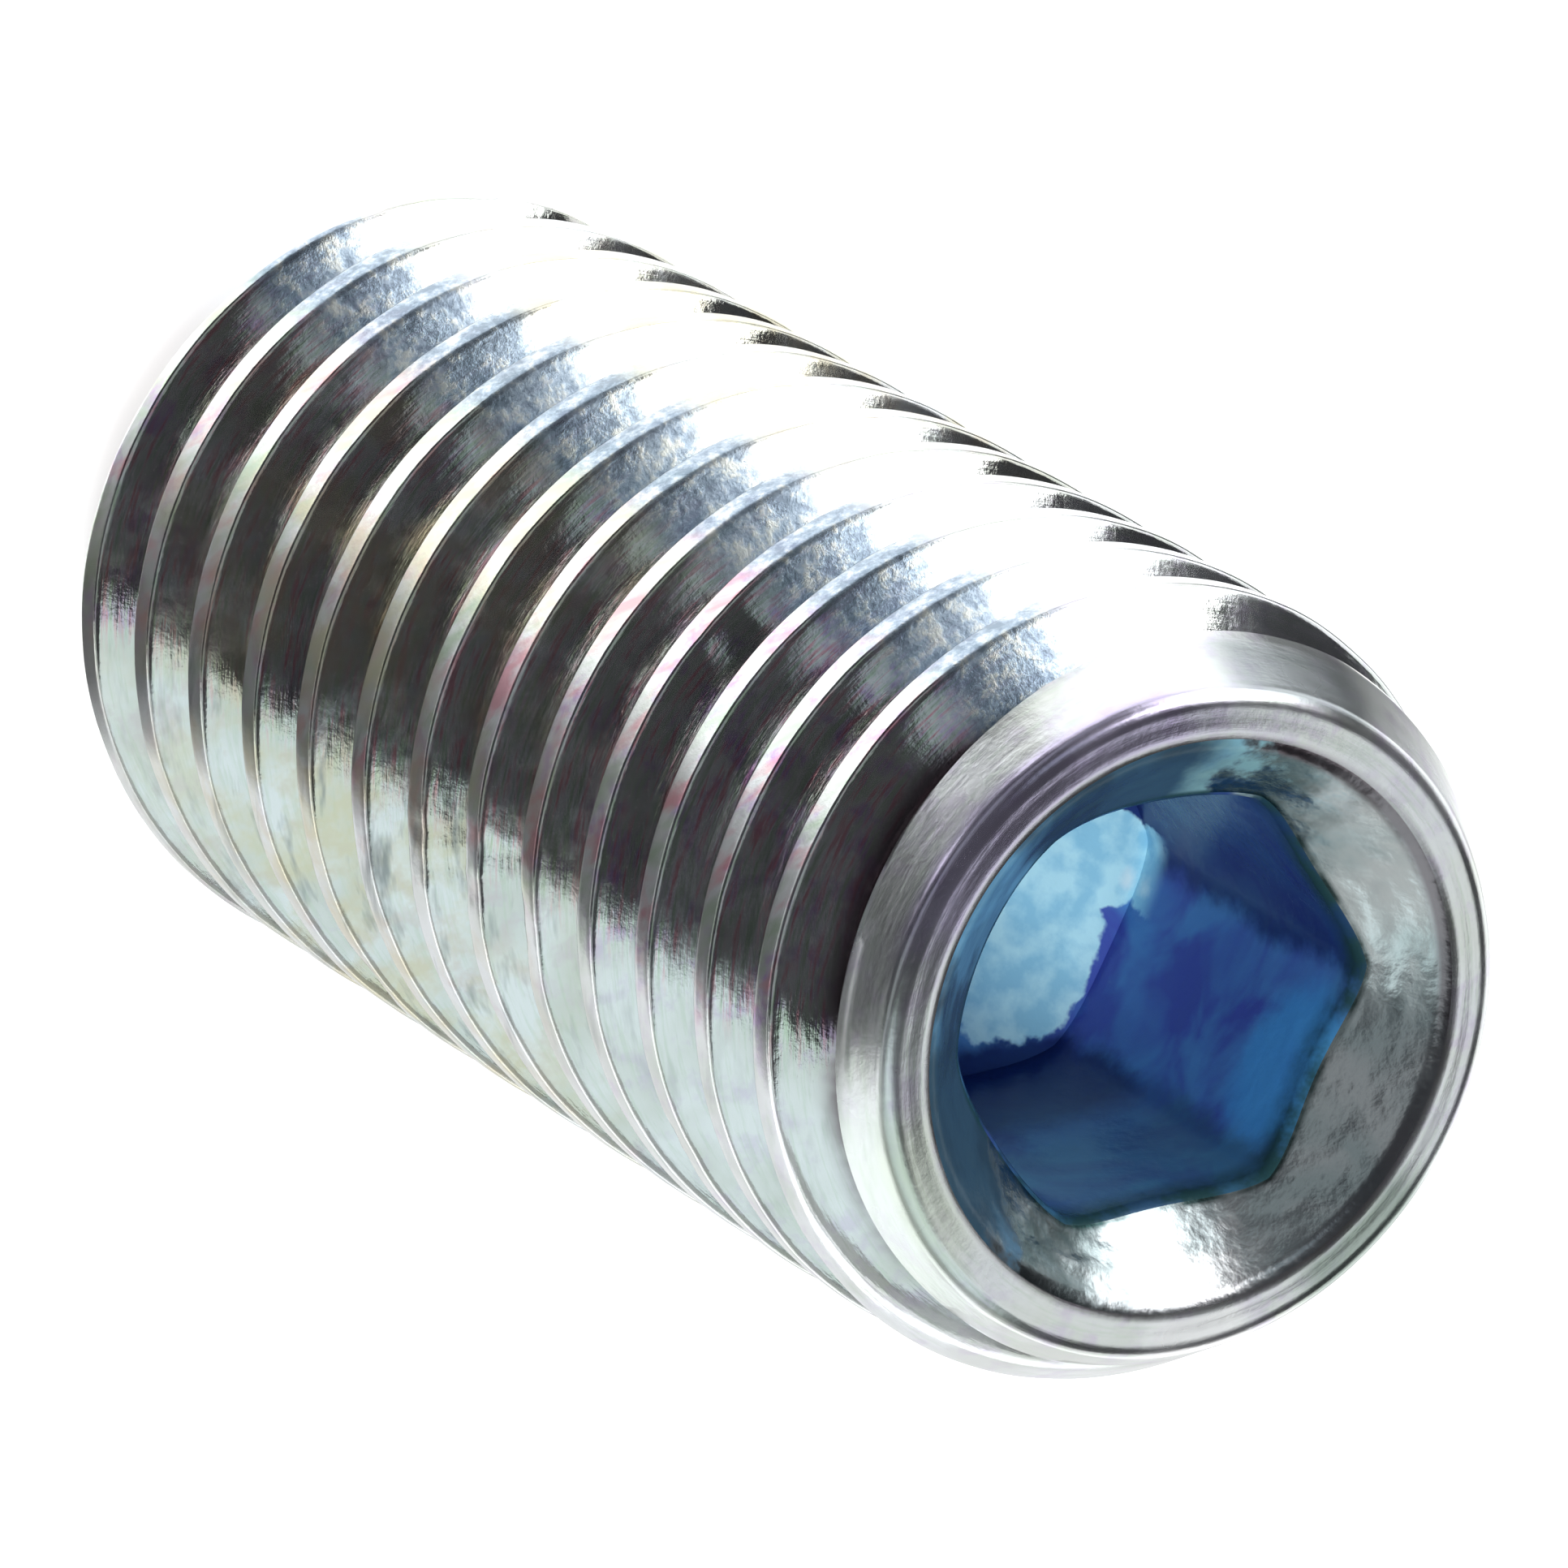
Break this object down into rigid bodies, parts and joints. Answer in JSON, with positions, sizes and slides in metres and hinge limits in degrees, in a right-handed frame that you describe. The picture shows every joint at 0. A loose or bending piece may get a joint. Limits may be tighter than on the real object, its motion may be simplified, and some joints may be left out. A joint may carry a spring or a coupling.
{
  "type": "grub set screw",
  "caption": "Headless metric set screw with a hexagon socket, a coarse right-hand thread over its whole length and a flat point.",
  "frame": {"origin": "centre of the flat point, on the surface that the screw stands on", "axes": "+Z along the screw's axis, from the point to the socket end; +X towards a corner of the hexagon"},
  "size_m": [0.0118, 0.0118, 0.025],
  "materials": {
    "zinc_plate": "bright zinc plate over steel, lightly scuffed, with a blue film inside the socket"
  },
  "bodies": {
    "root": {"set_screw": "zinc_plate"}
  },
  "joints": []
}
